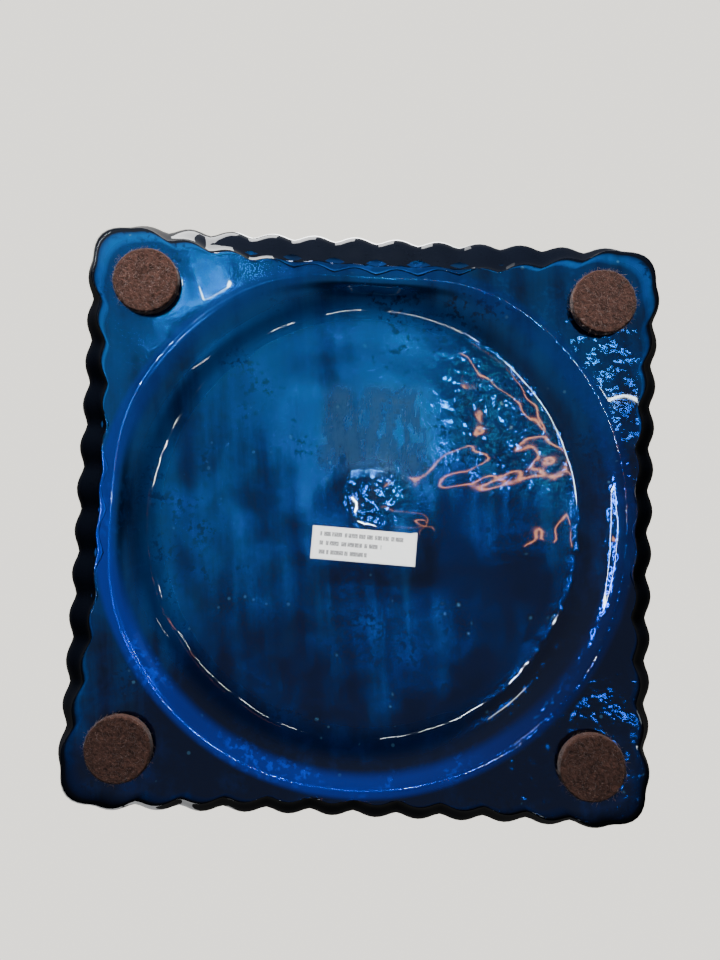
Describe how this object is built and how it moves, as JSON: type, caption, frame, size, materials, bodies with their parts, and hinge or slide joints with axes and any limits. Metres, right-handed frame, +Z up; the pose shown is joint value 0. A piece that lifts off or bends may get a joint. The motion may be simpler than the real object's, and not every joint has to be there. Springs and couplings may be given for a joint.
{
  "type": "candlestick",
  "caption": "Tall candlestick of silvered cobalt-blue glass with a square fluted foot, a swirled knop and a round gadrooned dish, on felt pads.",
  "frame": {"origin": "on the centre line of the stem, level with the undersides of the felt pads", "axes": "+Z up the stem; +X and +Y square to two sides of the foot, with the label nearer the +Y side"},
  "size_m": [0.1784, 0.1784, 0.3036],
  "materials": {
    "cobalt_glass": "blown cobalt-blue glass, fire-polished",
    "silvering": "mottled chemical silvering under a backing lacquer",
    "clear_cement": "clear glass cement",
    "brown_felt": "pressed dark brown felt",
    "pad_adhesive": "clear amber pressure-sensitive adhesive",
    "label_adhesive": "clear pressure-sensitive adhesive",
    "white_paper": "matt white label paper, blank"
  },
  "bodies": {
    "root": {"foot_glass": "cobalt_glass", "foot_silvering": "silvering", "stem_glass": "cobalt_glass", "stem_silvering": "silvering", "dish_glass": "cobalt_glass", "dish_silvering": "silvering", "foot_cement": "clear_cement", "dish_cement": "clear_cement", "felt_pad_front_left": "brown_felt", "pad_adhesive_front_left": "pad_adhesive", "felt_pad_front_right": "brown_felt", "pad_adhesive_front_right": "pad_adhesive", "felt_pad_back_left": "brown_felt", "pad_adhesive_back_left": "pad_adhesive", "felt_pad_back_right": "brown_felt", "pad_adhesive_back_right": "pad_adhesive", "label_adhesive": "label_adhesive", "label_paper": "white_paper"}
  },
  "joints": []
}
